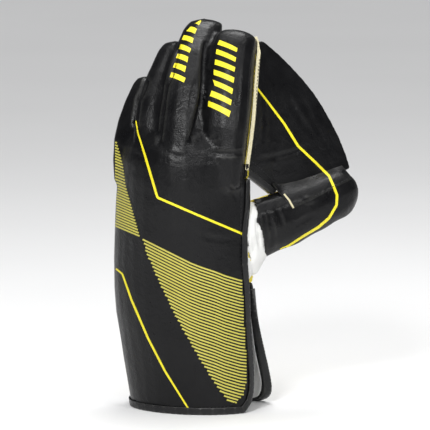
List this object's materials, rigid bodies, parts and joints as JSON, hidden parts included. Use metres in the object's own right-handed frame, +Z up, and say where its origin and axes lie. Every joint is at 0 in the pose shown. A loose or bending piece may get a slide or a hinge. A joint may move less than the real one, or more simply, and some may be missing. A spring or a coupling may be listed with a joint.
{
  "type": "wicketkeeping glove",
  "caption": "Left-hand wicketkeeping glove with a padded black leather back, a long gauntlet, a rubber-faced palm and a catching web between thumb and index finger.",
  "frame": {"origin": "middle of the bounding box in X and Y, on the surface that the gauntlet's rim stands on", "axes": "+Z up towards the fingertips, +X towards the thumb, +Y from the back of the hand towards the palm"},
  "size_m": [0.1942, 0.1504, 0.3352],
  "materials": {
    "black_leather": "smooth semi-gloss black leather with yellow printed lines and bars",
    "palm_rubber": "pimpled yellow rubber facing",
    "white_cloth": "white woven cloth",
    "raw_edge": "cut cream edge of the leather"
  },
  "bodies": {
    "root": {"back_panel": "black_leather", "index_stall": "black_leather", "middle_stall": "black_leather", "ring_stall": "black_leather", "little_stall": "black_leather", "palm_facing": "palm_rubber", "palm_gauntlet": "black_leather", "gauntlet_lining": "white_cloth", "rim_binding": "black_leather", "flap_binding": "black_leather", "thumb_gusset": "white_cloth", "thumb_stall": "black_leather", "thumb_facing": "palm_rubber", "web": "black_leather", "web_facing": "palm_rubber", "web_binding": "black_leather", "index_edge": "raw_edge"}
  },
  "joints": []
}
